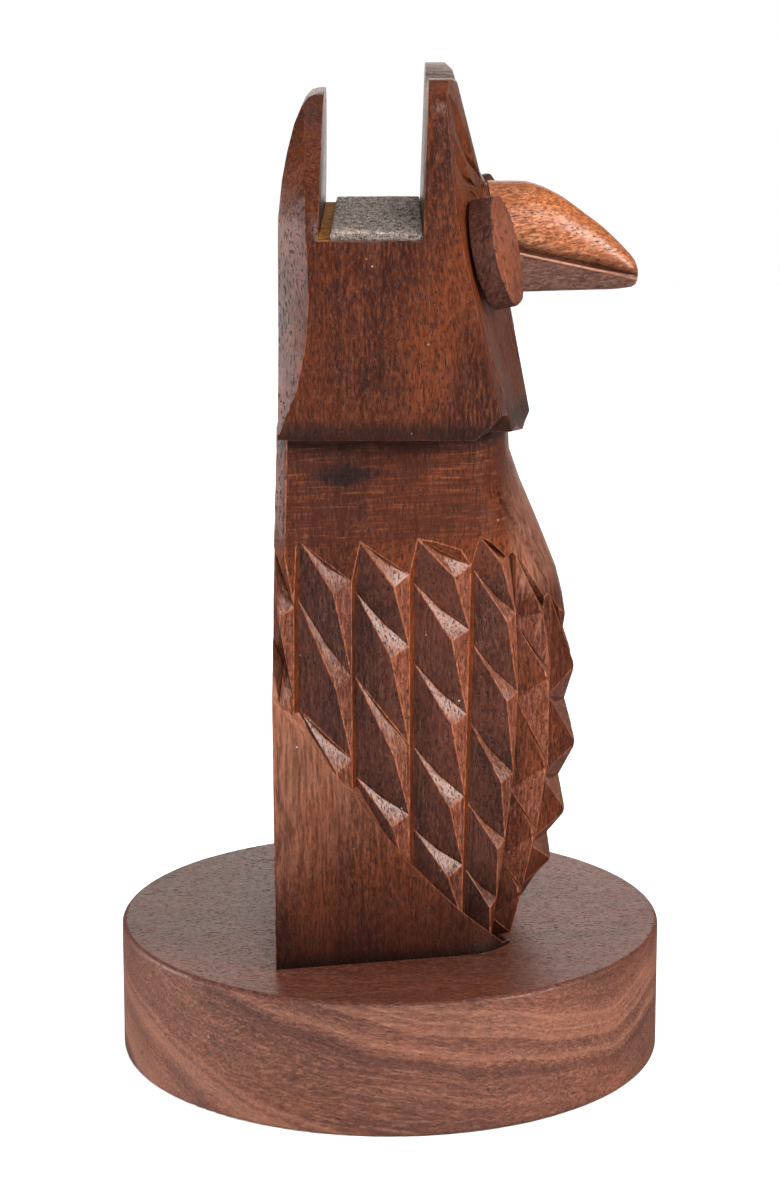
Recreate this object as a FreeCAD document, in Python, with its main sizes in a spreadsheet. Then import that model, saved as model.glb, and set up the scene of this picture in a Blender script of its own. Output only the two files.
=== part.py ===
"""Carved wooden owl that stands on a round base and holds a phone and a pair of spectacles.

Millimetres.  The origin is the centre of the base's underside, +Z is up and the owl looks along -Y.
The head and body are one carved block.  The beak, the two eye discs, the felt in the phone slot and the
base are separate pieces, held by dowels and by two screws that come up through the base.
"""
import FreeCAD
import Part
import math
import os

import Sketcher

DIMENSIONS = {
    # round base
    "base_radius": 50.0,
    "base_thick": 24.5,
    "base_edge": 0.9,
    # body: side profile, distances in front of and behind the centre line
    "foot_back": 20.2,
    "body_back": 20.5,
    "back_height": 85.0,
    "neck_back": 19.4,
    "foot_front": 22.0,
    "throat_front": 20.9,
    "throat_height": 113.0,
    "neck_top": 124.0,
    "belly_radius": 80.0,
    # body: plan and front view
    "shoulder_half": 33.4,
    "breast_half": 25.0,
    "breast_start": 15.5,
    "breast_radius": 26.0,
    "foot_half": 32.7,
    "waist_height": 101.0,
    "neck_half": 31.8,
    # head: side profile
    "head_half": 35.0,
    "head_bottom": 120.0,
    "head_back": 19.1,
    "crown_height": 160.0,
    "crown_back": 18.5,
    "rear_shoulder_back": 15.8,
    "rear_shoulder_height": 175.0,
    "rear_tip_back": 14.6,
    "rear_top": 176.8,
    "slot_back_top": 11.5,
    "slot_back": 12.1,
    "slot_floor": 153.8,
    "slot_front": 5.6,
    "slot_front_top": 6.5,
    "horn_top": 180.2,
    "horn_front": 9.0,
    "brow_front": 17.4,
    "brow_height": 161.0,
    "chin_front": 25.2,
    "chin_height": 119.6,
    "chin_under": 115.9,
    "chin_start": 13.0,
    "chin_half": 24.0,
    "chin_tip_half": 17.0,
    # head: plan of the face at three heights (centre ridge and side corner)
    "face_low": 110.0,
    "face_low_ridge": 27.2,
    "face_low_corner": 22.0,
    "face_mid": 158.0,
    "face_mid_ridge": 18.2,
    "face_mid_corner": 11.2,
    "face_high": 184.0,
    "face_high_ridge": 15.0,
    "face_high_corner": 8.6,
    # rear plate and horn outlines, seen from the front
    "plate_root_half": 33.5,
    "plate_root_height": 156.5,
    "plate_mid_half": 26.5,
    "plate_mid_height": 164.5,
    "plate_high_half": 19.5,
    "plate_high_height": 172.5,
    "plate_tip_half": 9.0,
    "horn_dip_half": 23.0,
    "horn_dip_height": 177.0,
    "corner_low": 121.5,
    "corner_mid": 138.0,
    "corner_high": 182.0,
    "corner_cut_low": 0.2,
    "corner_cut_mid": 5.2,
    "corner_cut_high": 5.0,
    # felt in the phone slot
    "felt_thick": 1.2,
    "felt_gap": 2.0,
    "felt_length": 69.0,
    # beak
    "beak_half": 9.5,
    "beak_tip_half": 3.3,
    "beak_top": 160.8,
    "beak_bottom": 141.2,
    "beak_seat_top": 15.8,
    "beak_seat_low": 19.6,
    "beak_bridge": 25.0,
    "beak_taper": 6.0,
    "beak_radius": 46.0,
    "beak_tip": 44.3,
    "beak_tip_top": 146.6,
    "beak_tip_low": 143.4,
    "beak_tip_under": 1.6,
    "beak_tip_rise": 0.6,
    "beak_round": 2.4,
    # beak dowel
    "dowel_radius": 3.0,
    "dowel_length": 20.0,
    "dowel_height": 150.0,
    "dowel_start": 9.0,
    # eye discs and their dowels
    "eye_radius": 10.1,
    "eye_thick": 3.8,
    "eye_edge": 0.8,
    "eye_side": 22.0,
    "eye_front": 15.8,
    "eye_height": 150.3,
    "eye_turn": 13.0,
    "eye_tilt": 13.0,
    "eye_sides": 11.0,
    "eye_seat_margin": 0.4,
    "eye_dowel_radius": 2.0,
    "eye_dowel_length": 9.0,
    "eye_dowel_depth": 2.2,
    # base screws
    "screw_side": 13.0,
    "screw_radius": 2.0,
    "screw_head_radius": 4.0,
    "screw_head_height": 2.6,
    "screw_recess": 5.0,
    "screw_length": 40.0,
    "screw_point": 4.0,
    "screw_tip_radius": 0.4,
    "driver_slot_width": 1.0,
    "driver_slot_depth": 1.3,
    "screw_clearance": 0.3,
}

SHEET = "Dimensions"
doc = FreeCAD.newDocument("carved_owl_stand")


def make_sheet():
    """Put every driving dimension in the spreadsheet, one alias to a row."""
    sheet = doc.addObject("Spreadsheet::Sheet", SHEET)
    for row, (alias, number) in enumerate(DIMENSIONS.items(), start=1):
        sheet.set("A%d" % row, alias)
        sheet.set("B%d" % row, str(number))
        sheet.setAlias("B%d" % row, alias)
    doc.recompute()
    return sheet


def terms(text):
    """Split a signed sum such as 'a-b+c' into (sign, word) pairs."""
    spaced = text.replace("-", "+-")
    return [(-1 if word.startswith("-") else 1, word.lstrip("-")) for word in spaced.split("+") if word]


def number(text):
    """Length of a signed sum of dimensions."""
    return sum(sign * (DIMENSIONS[word] if word in DIMENSIONS else float(word)) for sign, word in terms(text))


def formula(text):
    """The same sum as a FreeCAD expression on the sheet."""
    words = [(sign, "%s.%s" % (SHEET, word) if word in DIMENSIONS else word) for sign, word in terms(text)]
    return "".join("%s%s" % ("-" if sign < 0 else "+", word) for sign, word in words).lstrip("+")


def bind(item, prop, text):
    item.setExpression(prop, formula(text))


# ---------------------------------------------------------------- sketches

PLANES = {
    "XY_Plane": FreeCAD.Rotation(),
    "XZ_Plane": FreeCAD.Rotation(FreeCAD.Vector(1, 0, 0), 90),
    "YZ_Plane": FreeCAD.Rotation(0.5, 0.5, 0.5, 0.5),
}


def arc_centre(start, end, radius):
    """Centre of the shorter arc that leaves start and reaches end with its bulge on the right-hand side."""
    middle = (start + end) * 0.5
    chord = end - start
    side = FreeCAD.Vector(-chord.y, chord.x, 0).normalize()
    return middle + side * math.sqrt(radius**2 - (chord.Length / 2) ** 2)


def draw_outline(sketch, points, arcs=None):
    """Draw one closed outline.  arcs maps a side's number to the alias of its radius."""
    arcs = arcs or {}
    places = [FreeCAD.Vector(number(x), number(y), 0) for x, y in points]
    first = sketch.GeometryCount
    starts = []
    for side, start in enumerate(places):
        end = places[(side + 1) % len(places)]
        if side in arcs:
            centre = arc_centre(start, end, number(arcs[side]))
            circle = Part.Circle(centre, FreeCAD.Vector(0, 0, 1), number(arcs[side]))
            begin = math.atan2(start.y - centre.y, start.x - centre.x)
            finish = math.atan2(end.y - centre.y, end.x - centre.x)
            sketch.addGeometry(Part.ArcOfCircle(circle, begin, finish), False)
        else:
            sketch.addGeometry(Part.LineSegment(start, end), False)
        starts.append(first + side)
    for side, geometry in enumerate(starts):
        following = starts[(side + 1) % len(starts)]
        sketch.addConstraint(Sketcher.Constraint("Coincident", geometry, 2, following, 1))
        if side in arcs:
            index = sketch.addConstraint(Sketcher.Constraint("Radius", geometry, number(arcs[side])))
            bind(sketch, "Constraints[%d]" % index, arcs[side])
    for geometry, (x, y) in zip(starts, points):
        fix_point(sketch, geometry, "DistanceX", x, -2)
        fix_point(sketch, geometry, "DistanceY", y, -1)


def fix_point(sketch, geometry, kind, text, axis):
    """Dimension a side's first point from the origin, or put it on the axis where the length is zero."""
    if number(text) == 0:
        sketch.addConstraint(Sketcher.Constraint("PointOnObject", geometry, 1, axis))
        return
    index = sketch.addConstraint(Sketcher.Constraint(kind, -1, 1, geometry, 1, number(text)))
    bind(sketch, "Constraints[%d]" % index, text)


def draw_circle(sketch, x, y, radius):
    """Draw a dimensioned circle."""
    centre = FreeCAD.Vector(number(x), number(y), 0)
    geometry = sketch.addGeometry(Part.Circle(centre, FreeCAD.Vector(0, 0, 1), number(radius)), False)
    index = sketch.addConstraint(Sketcher.Constraint("Radius", geometry, number(radius)))
    bind(sketch, "Constraints[%d]" % index, radius)
    for kind, text, axis in (("DistanceX", x, -2), ("DistanceY", y, -1)):
        if number(text) == 0:
            sketch.addConstraint(Sketcher.Constraint("PointOnObject", geometry, 3, axis))
        else:
            index = sketch.addConstraint(Sketcher.Constraint(kind, -1, 1, geometry, 3, number(text)))
            bind(sketch, "Constraints[%d]" % index, text)


def plane_sketch(name, role, offset=None):
    """A free sketch parallel to one of the main planes."""
    sketch = doc.addObject("Sketcher::SketchObject", name)
    sketch.Placement = FreeCAD.Placement(FreeCAD.Vector(), PLANES[role])
    if offset:
        bind(sketch, "Placement.Base.z", offset)
    return sketch


def body_sketch(body, name, role):
    """A sketch inside a body, on one of the body's own origin planes."""
    sketch = body.newObject("Sketcher::SketchObject", name)
    plane = next(item for item in body.Origin.OriginFeatures if item.Role == role)
    sketch.AttachmentSupport = [(plane, "")]
    sketch.MapMode = "FlatFace"
    return sketch


def extrusion(name, sketch, direction, ahead, behind="0"):
    """Extrude a free sketch ahead of and behind its plane."""
    block = doc.addObject("Part::Extrusion", name)
    block.Base = sketch
    block.DirMode = "Custom"
    block.Dir = direction
    block.Solid = True
    bind(block, "LengthFwd", ahead)
    bind(block, "LengthRev", behind)
    return block


def boolean(kind, name, items):
    """Join, intersect or cut document objects."""
    result = doc.addObject("Part::" + kind, name)
    if kind == "Cut":
        result.Base, result.Tool = items
    else:
        result.Shapes = items
    return result


def mirror(name, source):
    """The same shape on the other side of the centre plane."""
    item = doc.addObject("Part::Mirroring", name)
    item.Source = source
    item.Base = FreeCAD.Vector()
    item.Normal = X_AXIS
    return item


def cylinder(name, radius, height):
    item = doc.addObject("Part::Cylinder", name)
    bind(item, "Radius", radius)
    bind(item, "Height", height)
    return item


def mirrored(points):
    """The same outline on the other side of the centre line."""
    flipped = []
    for x, y in reversed(points):
        flipped.append(("".join("%s%s" % ("+" if sign < 0 else "-", word) for sign, word in terms(x)), y))
    return flipped


X_AXIS = FreeCAD.Vector(1, 0, 0)
Y_AXIS = FreeCAD.Vector(0, 1, 0)
Z_AXIS = FreeCAD.Vector(0, 0, 1)


# ---------------------------------------------------------------- head and body, one carved block

def make_trunk():
    """Body below the head: side profile, plan and front view sawn through each other."""
    side = plane_sketch("body_side_view", "YZ_Plane")
    points = [
        ("foot_back", "base_thick"),
        ("body_back", "back_height"),
        ("neck_back", "neck_top"),
        ("-throat_front", "neck_top"),
        ("-throat_front", "throat_height"),
        ("-foot_front", "base_thick"),
    ]
    draw_outline(side, points, {4: "belly_radius"})
    plan = plane_sketch("body_plan", "XY_Plane")
    points = [
        ("shoulder_half", "body_back+1"),
        ("-shoulder_half", "body_back+1"),
        ("-breast_half", "-breast_start"),
        ("breast_half", "-breast_start"),
    ]
    draw_outline(plan, points, {2: "breast_radius"})
    front = plane_sketch("body_front_view", "XZ_Plane")
    points = [
        ("foot_half", "base_thick"),
        ("shoulder_half", "waist_height"),
        ("neck_half", "neck_top"),
        ("-neck_half", "neck_top"),
        ("-shoulder_half", "waist_height"),
        ("-foot_half", "base_thick"),
    ]
    draw_outline(front, points)
    views = [
        extrusion("body_side_block", side, X_AXIS, "head_half", "head_half"),
        extrusion("body_plan_block", plan, Z_AXIS, "neck_top"),
        extrusion("body_front_block", front, Y_AXIS, "base_radius", "base_radius"),
    ]
    return boolean("MultiCommon", "trunk", views)


def make_head():
    """Head: side profile with the phone slot, cut to the shallow V of the face."""
    side = plane_sketch("head_side_view", "YZ_Plane")
    points = [
        ("head_back", "head_bottom"),
        ("crown_back", "crown_height"),
        ("rear_shoulder_back", "rear_shoulder_height"),
        ("rear_tip_back", "rear_top"),
        ("slot_back_top", "rear_top"),
        ("slot_back", "slot_floor"),
        ("-slot_front", "slot_floor"),
        ("-slot_front_top", "horn_top"),
        ("-horn_front", "horn_top"),
        ("-brow_front", "brow_height"),
        ("-chin_front", "chin_height"),
        ("-throat_front", "chin_under"),
        ("-chin_start", "head_bottom"),
    ]
    draw_outline(side, points)
    sections = []
    for level in ("low", "mid", "high"):
        section = plane_sketch("face_plan_" + level, "XY_Plane", "face_" + level)
        corner = "-face_%s_corner" % level
        points = [
            ("head_half", "head_back+1"),
            ("-head_half", "head_back+1"),
            ("-head_half", corner),
            ("0", "-face_%s_ridge" % level),
            ("head_half", corner),
        ]
        draw_outline(section, points)
        sections.append(section)
    wedge = doc.addObject("Part::Loft", "face_wedge")
    wedge.Sections = sections
    wedge.Solid = True
    wedge.Ruled = True
    front = plane_sketch("head_front_view", "XZ_Plane")
    points = [
        ("chin_tip_half", "chin_under"),
        ("chin_half", "head_bottom"),
        ("head_half", "head_bottom"),
        ("head_half", "horn_top"),
        ("horn_dip_half", "horn_top"),
        ("0", "horn_dip_height"),
        ("-horn_dip_half", "horn_top"),
        ("-head_half", "horn_top"),
        ("-head_half", "head_bottom"),
        ("-chin_half", "head_bottom"),
        ("-chin_tip_half", "chin_under"),
    ]
    draw_outline(front, points)
    views = [
        wedge,
        extrusion("head_side_block", side, X_AXIS, "head_half", "head_half"),
        extrusion("head_front_block", front, Y_AXIS, "base_radius", "base_radius"),
    ]
    return boolean("MultiCommon", "head", views)


def make_head_cutters():
    """Wood removed around the arched rear plate and at the rear corners."""
    arch = plane_sketch("rear_arch", "XZ_Plane")
    points = [
        ("head_half+1", "plate_root_height"),
        ("head_half+1", "rear_top+1"),
        ("plate_tip_half", "rear_top+1"),
        ("plate_high_half", "plate_high_height"),
        ("plate_mid_half", "plate_mid_height"),
        ("plate_root_half", "plate_root_height"),
    ]
    draw_outline(arch, points)
    draw_outline(arch, mirrored(points))
    cutters = [extrusion("rear_arch_cut", arch, Y_AXIS, "body_back+1")]
    return cutters + make_corner_cutters()


def make_corner_cutters():
    """Flats on the two rear corners of the head, which run out to nothing just above the neck."""
    sections = []
    for level in ("low", "mid", "high"):
        section = plane_sketch("rear_corner_" + level, "XY_Plane", "corner_" + level)
        points = [
            ("head_half+1", "head_back-corner_cut_%s-1" % level),
            ("head_half+1", "head_back+1"),
            ("head_half-corner_cut_%s-1" % level, "head_back+1"),
        ]
        draw_outline(section, points)
        sections.append(section)
    left = doc.addObject("Part::Loft", "rear_corner_left")
    left.Sections = sections
    left.Solid = True
    left.Ruled = True
    right = mirror("rear_corner_right", left)
    return [left, right]


def make_figure(holes):
    """The whole carved block, less its slot, cut-outs, dowel holes and screw pilot holes."""
    blank = boolean("MultiFuse", "figure_blank", [make_trunk(), make_head()])
    removed = boolean("MultiFuse", "figure_removed", make_head_cutters() + holes)
    return boolean("Cut", "figure_body", [blank, removed])


# ---------------------------------------------------------------- base and its screws

def make_base():
    """Round base with a recessed clearance hole for each screw."""
    body = doc.addObject("PartDesign::Body", "base_disc")
    disc = body_sketch(body, "base_circle", "XY_Plane")
    draw_circle(disc, "0", "0", "base_radius")
    pad = body.newObject("PartDesign::Pad", "base_pad")
    pad.Profile = disc
    bind(pad, "Length", "base_thick")
    doc.recompute()
    rims = [name_of(pad, edge) for edge in pad.Shape.Edges if edge.Curve.TypeId == "Part::GeomCircle"]
    rounded = body.newObject("PartDesign::Fillet", "base_rims")
    rounded.Base = (pad, rims)
    bind(rounded, "Radius", "base_edge")
    for name, radius, depth in (
        ("screw_clearance_holes", "screw_radius+screw_clearance", "base_thick"),
        ("screw_recesses", "screw_head_radius+screw_clearance", "screw_recess"),
    ):
        sketch = body_sketch(body, name + "_sketch", "XY_Plane")
        draw_circle(sketch, "screw_side", "0", radius)
        draw_circle(sketch, "-screw_side", "0", radius)
        pocket = body.newObject("PartDesign::Pocket", name)
        pocket.Profile = sketch
        pocket.Reversed = True
        bind(pocket, "Length", depth)
    return body


def name_of(feature, edge):
    """Sub-element name of an edge of a feature."""
    index = next(i for i, other in enumerate(feature.Shape.Edges, start=1) if other.isSame(edge))
    return "Edge%d" % index


def make_screws():
    """Two wood screws, heads in the base's recesses and shanks in the body."""
    head = cylinder("screw_head", "screw_head_radius", "screw_head_height")
    bind(head, "Placement.Base.z", "screw_recess-screw_head_height")
    shank = cylinder("screw_shank", "screw_radius", "screw_length-screw_point")
    bind(shank, "Placement.Base.z", "screw_recess")
    point = doc.addObject("Part::Cone", "screw_point_cone")
    bind(point, "Radius1", "screw_radius")
    bind(point, "Radius2", "screw_tip_radius")
    bind(point, "Height", "screw_point")
    bind(point, "Placement.Base.z", "screw_recess+screw_length-screw_point")
    for piece in (head, shank, point):
        bind(piece, "Placement.Base.x", "screw_side")
    driver = doc.addObject("Part::Box", "driver_slot")
    driver.setExpression("Length", "2 * (%s.screw_head_radius + 1)" % SHEET)
    bind(driver, "Width", "driver_slot_width")
    bind(driver, "Height", "driver_slot_depth")
    bind(driver, "Placement.Base.x", "screw_side-screw_head_radius-1")
    driver.setExpression("Placement.Base.y", "-%s.driver_slot_width / 2" % SHEET)
    bind(driver, "Placement.Base.z", "screw_recess-screw_head_height")
    left = boolean("Cut", "left_screw", [boolean("MultiFuse", "screw_blank", [head, shank, point]), driver])
    pair = doc.addObject("Part::Compound", "base_screws")
    pair.Links = [left, mirror("right_screw", left)]
    return pair


def make_screw_holes():
    """Pilot holes in the foot, as deep as the screws reach."""
    holes = []
    for name, side in (("left_pilot", "screw_side"), ("right_pilot", "-screw_side")):
        hole = cylinder(name, "screw_radius", "screw_length+screw_recess-base_thick")
        bind(hole, "Placement.Base.x", side)
        bind(hole, "Placement.Base.z", "base_thick")
        holes.append(hole)
    return holes


# ---------------------------------------------------------------- beak and its dowel

def make_beak():
    """Beak with a level bridge for spectacles, an arched top and a blunt tip."""
    body = doc.addObject("PartDesign::Body", "beak")
    side = body_sketch(body, "beak_side_view", "YZ_Plane")
    points = [
        ("-beak_seat_top", "beak_top"),
        ("-beak_bridge", "beak_top"),
        ("-beak_tip", "beak_tip_top"),
        ("-beak_tip", "beak_tip_low"),
        ("-beak_tip+beak_tip_under", "beak_bottom+beak_tip_rise"),
        ("-beak_seat_low", "beak_bottom"),
    ]
    draw_outline(side, points, {1: "beak_radius"})
    pad = body.newObject("PartDesign::Pad", "beak_block")
    pad.Profile = side
    pad.Midplane = True
    pad.setExpression("Length", "2 * %s.beak_half" % SHEET)
    doc.recompute()
    plan = body_sketch(body, "beak_plan_cut", "XY_Plane")
    points = [
        ("beak_half+1", "-beak_bridge+beak_taper"),
        ("beak_half", "-beak_bridge+beak_taper"),
        ("beak_tip_half", "-beak_tip-1"),
        ("beak_half+1", "-beak_tip-1"),
    ]
    draw_outline(plan, points)
    draw_outline(plan, mirrored(points))
    cut = body.newObject("PartDesign::Pocket", "beak_taper_cut")
    cut.Profile = plan
    cut.Type = "ThroughAll"
    cut.Reversed = True
    doc.recompute()
    crest = [name_of(cut, edge) for edge in cut.Shape.Edges if is_crest(edge)]
    rounded = body.newObject("PartDesign::Fillet", "beak_crest")
    rounded.Base = (cut, crest)
    bind(rounded, "Radius", "beak_round")
    doc.recompute()
    bore = body_sketch(body, "beak_bore_sketch", "XZ_Plane")
    draw_circle(bore, "0", "dowel_height", "dowel_radius")
    hole = body.newObject("PartDesign::Pocket", "beak_bore")
    hole.Profile = bore
    hole.Reversed = True
    bind(hole, "Length", "dowel_start+dowel_length")
    return body


def is_crest(edge):
    """True for the side edges of the beak's top, from the seat to the tip."""
    ends = [vertex.Point for vertex in edge.Vertexes]
    if len(ends) < 2 or ends[0].x * ends[1].x <= 0:
        return False
    return min(end.z for end in ends) > number("beak_tip_top") - 0.01


def make_beak_dowel(name, radius):
    """Dowel between beak and face, also used as its own bore."""
    dowel = cylinder(name, radius, "dowel_length")
    dowel.Placement = FreeCAD.Placement(FreeCAD.Vector(), FreeCAD.Rotation(X_AXIS, 90))
    bind(dowel, "Placement.Base.y", "-dowel_start")
    bind(dowel, "Placement.Base.z", "dowel_height")
    return dowel


def make_beak_seat():
    """Flat seat for the beak, sawn across the ridge of the face, with the dowel's bore."""
    side = plane_sketch("beak_seat_side", "YZ_Plane")
    points = [
        ("-beak_seat_top", "beak_top"),
        ("-beak_seat_low", "beak_bottom"),
        ("-chin_front", "beak_bottom"),
        ("-chin_front", "beak_top"),
    ]
    draw_outline(side, points)
    seat = extrusion("beak_seat", side, X_AXIS, "beak_half", "beak_half")
    return boolean("MultiFuse", "beak_hole", [seat, make_beak_dowel("beak_bore_in_face", "dowel_radius")])


# ---------------------------------------------------------------- eyes

def eye_placement(side, back=0.0):
    """Frame of an eye: +Z out of its face, turned outwards and tilted up; back shifts it into the head."""
    turn = FreeCAD.Rotation(Z_AXIS, side * number("eye_turn"))
    forward = FreeCAD.Rotation(X_AXIS, 90 - number("eye_tilt"))
    rotation = turn.multiply(forward)
    centre = FreeCAD.Vector(side * number("eye_side"), -number("eye_front"), number("eye_height"))
    return FreeCAD.Placement(centre - rotation.multVec(Z_AXIS) * back, rotation)


def make_eye(name, side):
    """Hand-cut disc with flats round its rim and a blind dowel hole in its back."""
    body = doc.addObject("PartDesign::Body", name)
    rim = body_sketch(body, name + "_rim", "XY_Plane")
    sides = int(number("eye_sides"))
    corners = []
    for corner in range(sides):
        angle = 2 * math.pi * corner / sides
        corners.append(FreeCAD.Vector(math.cos(angle), math.sin(angle), 0) * number("eye_radius"))
    for corner in range(sides):
        rim.addGeometry(Part.LineSegment(corners[corner], corners[(corner + 1) % sides]), False)
    circle = rim.addGeometry(Part.Circle(FreeCAD.Vector(), Z_AXIS, number("eye_radius")), True)
    rim.addConstraint(Sketcher.Constraint("Coincident", circle, 3, -1, 1))
    index = rim.addConstraint(Sketcher.Constraint("Radius", circle, number("eye_radius")))
    bind(rim, "Constraints[%d]" % index, "eye_radius")
    rim.addConstraint(Sketcher.Constraint("PointOnObject", 0, 1, -1))
    for corner in range(sides):
        rim.addConstraint(Sketcher.Constraint("Coincident", corner, 2, (corner + 1) % sides, 1))
        rim.addConstraint(Sketcher.Constraint("PointOnObject", corner, 1, circle))
    for corner in range(1, sides):
        rim.addConstraint(Sketcher.Constraint("Equal", 0, corner))
    pad = body.newObject("PartDesign::Pad", name + "_pad")
    pad.Profile = rim
    bind(pad, "Length", "eye_thick")
    doc.recompute()
    front = [face for face in pad.Shape.Faces if face.CenterOfMass.z > number("eye_thick") - 0.01]
    chamfer = body.newObject("PartDesign::Chamfer", name + "_edge")
    chamfer.Base = (pad, [name_of(pad, edge) for edge in front[0].Edges])
    bind(chamfer, "Size", "eye_edge")
    bore = body_sketch(body, name + "_bore_sketch", "XY_Plane")
    draw_circle(bore, "0", "0", "eye_dowel_radius")
    hole = body.newObject("PartDesign::Pocket", name + "_bore")
    hole.Profile = bore
    hole.Reversed = True
    bind(hole, "Length", "eye_dowel_depth")
    body.Placement = eye_placement(side)
    return body


def make_eye_dowel(name, side):
    """Dowel behind an eye."""
    dowel = cylinder(name, "eye_dowel_radius", "eye_dowel_length")
    dowel.Placement = eye_placement(side, number("eye_dowel_length-eye_dowel_depth"))
    return dowel


def make_eye_seat(name, side):
    """Flat spot for an eye on the face, with the bore of its dowel."""
    flat = cylinder(name + "_flat", "eye_radius+eye_seat_margin", "eye_thick")
    flat.Placement = eye_placement(side)
    bore = make_eye_dowel(name + "_bore", side)
    return boolean("MultiFuse", name, [flat, bore])


# ---------------------------------------------------------------- felt in the slot

def make_felt():
    """Felt strip on the floor of the phone slot, short of the rear wall."""
    felt = doc.addObject("Part::Box", "slot_lining")
    bind(felt, "Length", "felt_length")
    bind(felt, "Width", "slot_back+slot_front-felt_gap")
    bind(felt, "Height", "felt_thick")
    felt.setExpression("Placement.Base.x", "-%s.felt_length / 2" % SHEET)
    bind(felt, "Placement.Base.y", "-slot_front")
    bind(felt, "Placement.Base.z", "slot_floor")
    return felt


# ---------------------------------------------------------------- the whole stand

def check(items):
    """Stop if anything failed to compute or a piece has no valid solid."""
    for item in doc.Objects:
        if {"Invalid", "Error"} & set(item.State):
            raise RuntimeError("%s did not compute: %s" % (item.Label, item.State))
    for item in items:
        if item.Shape.isNull() or not item.Shape.isValid() or not item.Shape.Solids:
            raise RuntimeError("%s has no valid shape" % item.Label)
        print("%-16s %d solid(s) %10.1f mm3" % (item.Label, len(item.Shape.Solids), item.Shape.Volume))


def main():
    make_sheet()
    eyes = {"left": 1, "right": -1}
    dowel = make_beak_dowel("beak_dowel", "dowel_radius")
    pieces = [make_base(), make_screws(), make_beak(), dowel, make_felt()]
    holes = [make_beak_seat()] + make_screw_holes()
    for name, side in eyes.items():
        pieces.append(make_eye(name + "_eye_disc", side))
        pieces.append(make_eye_dowel(name + "_eye_dowel", side))
        holes.append(make_eye_seat(name + "_eye_seat", side))
    pieces.append(make_figure(holes))
    doc.recompute()
    check(pieces)
    os.makedirs("parts", exist_ok=True)
    for piece in pieces:
        piece.Shape.exportStep(os.path.join("parts", piece.Label + ".step"))


main()
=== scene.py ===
import math
import random
from contextlib import contextmanager

import bmesh
import bpy
import numpy as np
from mathutils import Matrix, Vector, noise


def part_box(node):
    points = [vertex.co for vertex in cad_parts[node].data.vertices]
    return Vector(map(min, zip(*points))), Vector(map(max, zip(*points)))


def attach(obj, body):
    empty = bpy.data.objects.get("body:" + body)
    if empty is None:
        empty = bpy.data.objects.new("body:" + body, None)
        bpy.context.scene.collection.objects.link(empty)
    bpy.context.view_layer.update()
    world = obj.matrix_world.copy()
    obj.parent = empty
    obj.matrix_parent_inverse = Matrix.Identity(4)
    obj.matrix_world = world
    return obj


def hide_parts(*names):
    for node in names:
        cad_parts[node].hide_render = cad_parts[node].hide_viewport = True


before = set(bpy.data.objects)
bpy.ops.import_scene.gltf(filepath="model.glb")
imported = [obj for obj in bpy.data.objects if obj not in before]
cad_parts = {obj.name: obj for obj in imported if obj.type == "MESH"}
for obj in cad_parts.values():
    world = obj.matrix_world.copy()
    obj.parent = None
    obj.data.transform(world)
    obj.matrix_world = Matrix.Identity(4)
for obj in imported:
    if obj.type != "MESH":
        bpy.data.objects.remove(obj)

# Shapes are made in millimetres, in the frame's own axes, and scaled to metres when they are done.
# "reach" is the distance forward of the disc's centre, towards the owl's face, which is -Y.
MM = 0.001
LEFT, BACK, UP = (1, 0, 0), (0, 1, 0), (0, 0, 1)
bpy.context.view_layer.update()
scene = bpy.context.scene


def box_mm(node):
    low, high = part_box(node)
    return Vector(low) / MM, Vector(high) / MM


beak_low, beak_high = box_mm("beak")
felt_low, felt_high = box_mm("slot_lining")
FOOT = box_mm("base_disc")[1].z  # where the owl stands on the disc
HEAD_HALF = box_mm("figure_body")[1].x
SLOT_FRONT, SLOT_BACK = 5.6, -12.1  # reaches of the phone slot's walls at its floor


# ---------------- camera and light

def show(name, data):
    """Puts an object with this data into the scene."""
    made = bpy.data.objects.new(name, data)
    scene.collection.objects.link(made)
    return made


def make_camera():
    """The photograph's viewpoint: the owl's right side, from a little above."""
    data = bpy.data.cameras.new("camera")
    data.lens = 92.59
    data.clip_start = 0.01
    data.clip_end = 100
    camera = show("camera", data)
    camera.location = (-0.55, 0, 0.2081)
    camera.rotation_euler = (math.radians(90 - 12.64), 0, math.radians(-90))
    scene.camera = camera


def new_lamp(name, kind, power):
    data = bpy.data.lights.new(name, kind)
    data.energy = power
    return show(name, data)


def area_light(name, place, size, power, colour=(1, 1, 1)):
    """A soft box aimed at the owl's middle."""
    lamp = new_lamp(name, "AREA", power)
    lamp.data.shape = "RECTANGLE"
    lamp.data.size, lamp.data.size_y = size
    lamp.data.color = colour
    lamp.location = place
    direction = Vector((0, 0, 0.1)) - Vector(place)
    lamp.rotation_euler = direction.to_track_quat("-Z", "Y").to_euler()


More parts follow.
